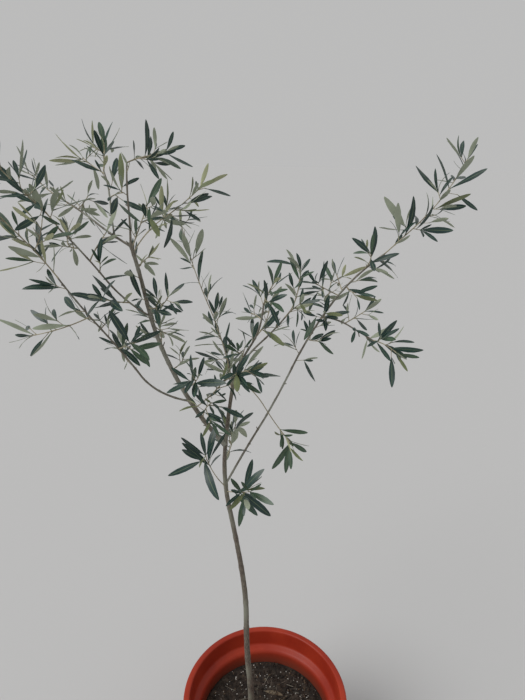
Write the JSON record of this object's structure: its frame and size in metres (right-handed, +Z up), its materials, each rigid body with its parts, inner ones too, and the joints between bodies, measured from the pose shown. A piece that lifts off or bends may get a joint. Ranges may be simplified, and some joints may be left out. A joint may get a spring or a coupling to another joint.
{
  "type": "potted olive tree",
  "caption": "A young, thin-stemmed olive tree with an open crown of narrow grey-green leaves, in a round terracotta-red plastic pot filled with dark soil.",
  "frame": {"origin": "centre of the pot's flat underside, where it stands on the ground", "axes": "+X to the right as the picture shows the tree, +Y to the back, +Z up"},
  "size_m": [0.746, 0.4015, 1.4354],
  "materials": {
    "pot_plastic": "satin",
    "soil": "matte",
    "bark": "matte",
    "foliage": "matte"
  },
  "bodies": {
    "root": {"pot": "pot_plastic", "soil": "soil", "bough_centre": "bark", "bough_centre_right": "bark", "bough_leader": "bark", "bough_left": "bark", "bough_lower_left": "bark", "bough_middle_left": "bark", "bough_right": "bark", "bough_right_side": "bark", "bough_top_left": "bark", "bough_upper_left": "bark", "trunk": "bark", "centre_back_shoot": "foliage", "centre_bough_spur": "foliage", "centre_bough_tip": "foliage", "centre_droop": "foliage", "centre_reach": "foliage", "centre_right_side": "foliage", "centre_right_tip": "foliage", "centre_side": "foliage", "centre_tip": "foliage", "leader_reach": "foliage", "leader_side": "foliage", "leader_tip": "foliage", "left_back_shoot": "foliage", "left_base_fan": "foliage", "left_base_shoot": "foliage", "left_low_fan": "foliage", "left_lower_spur": "foliage", "left_middle_shoot": "foliage", "left_middle_spur": "foliage", "left_upper_spur": "foliage", "lower_left_back": "foliage", "lower_left_base": "foliage", "lower_left_side": "foliage", "lower_left_spur": "foliage", "lower_left_tip": "foliage", "middle_left_fan": "foliage", "middle_left_shoot": "foliage", "middle_left_side": "foliage", "middle_left_tip": "foliage", "right_back_shoot": "foliage", "right_crown_spur": "foliage", "right_inner_shoot": "foliage", "right_low_spur": "foliage", "right_lower_spur": "foliage", "right_side_spur": "foliage", "right_side_tip": "foliage", "right_tip": "foliage", "right_upper_spur": "foliage", "right_whorl": "foliage", "top_left_inner": "foliage", "top_left_side": "foliage", "top_left_tip": "foliage", "trunk_back_shoot": "foliage", "trunk_left_fan": "foliage", "trunk_right_fan": "foliage", "upper_left_back": "foliage", "upper_left_tip": "foliage"}
  },
  "joints": []
}
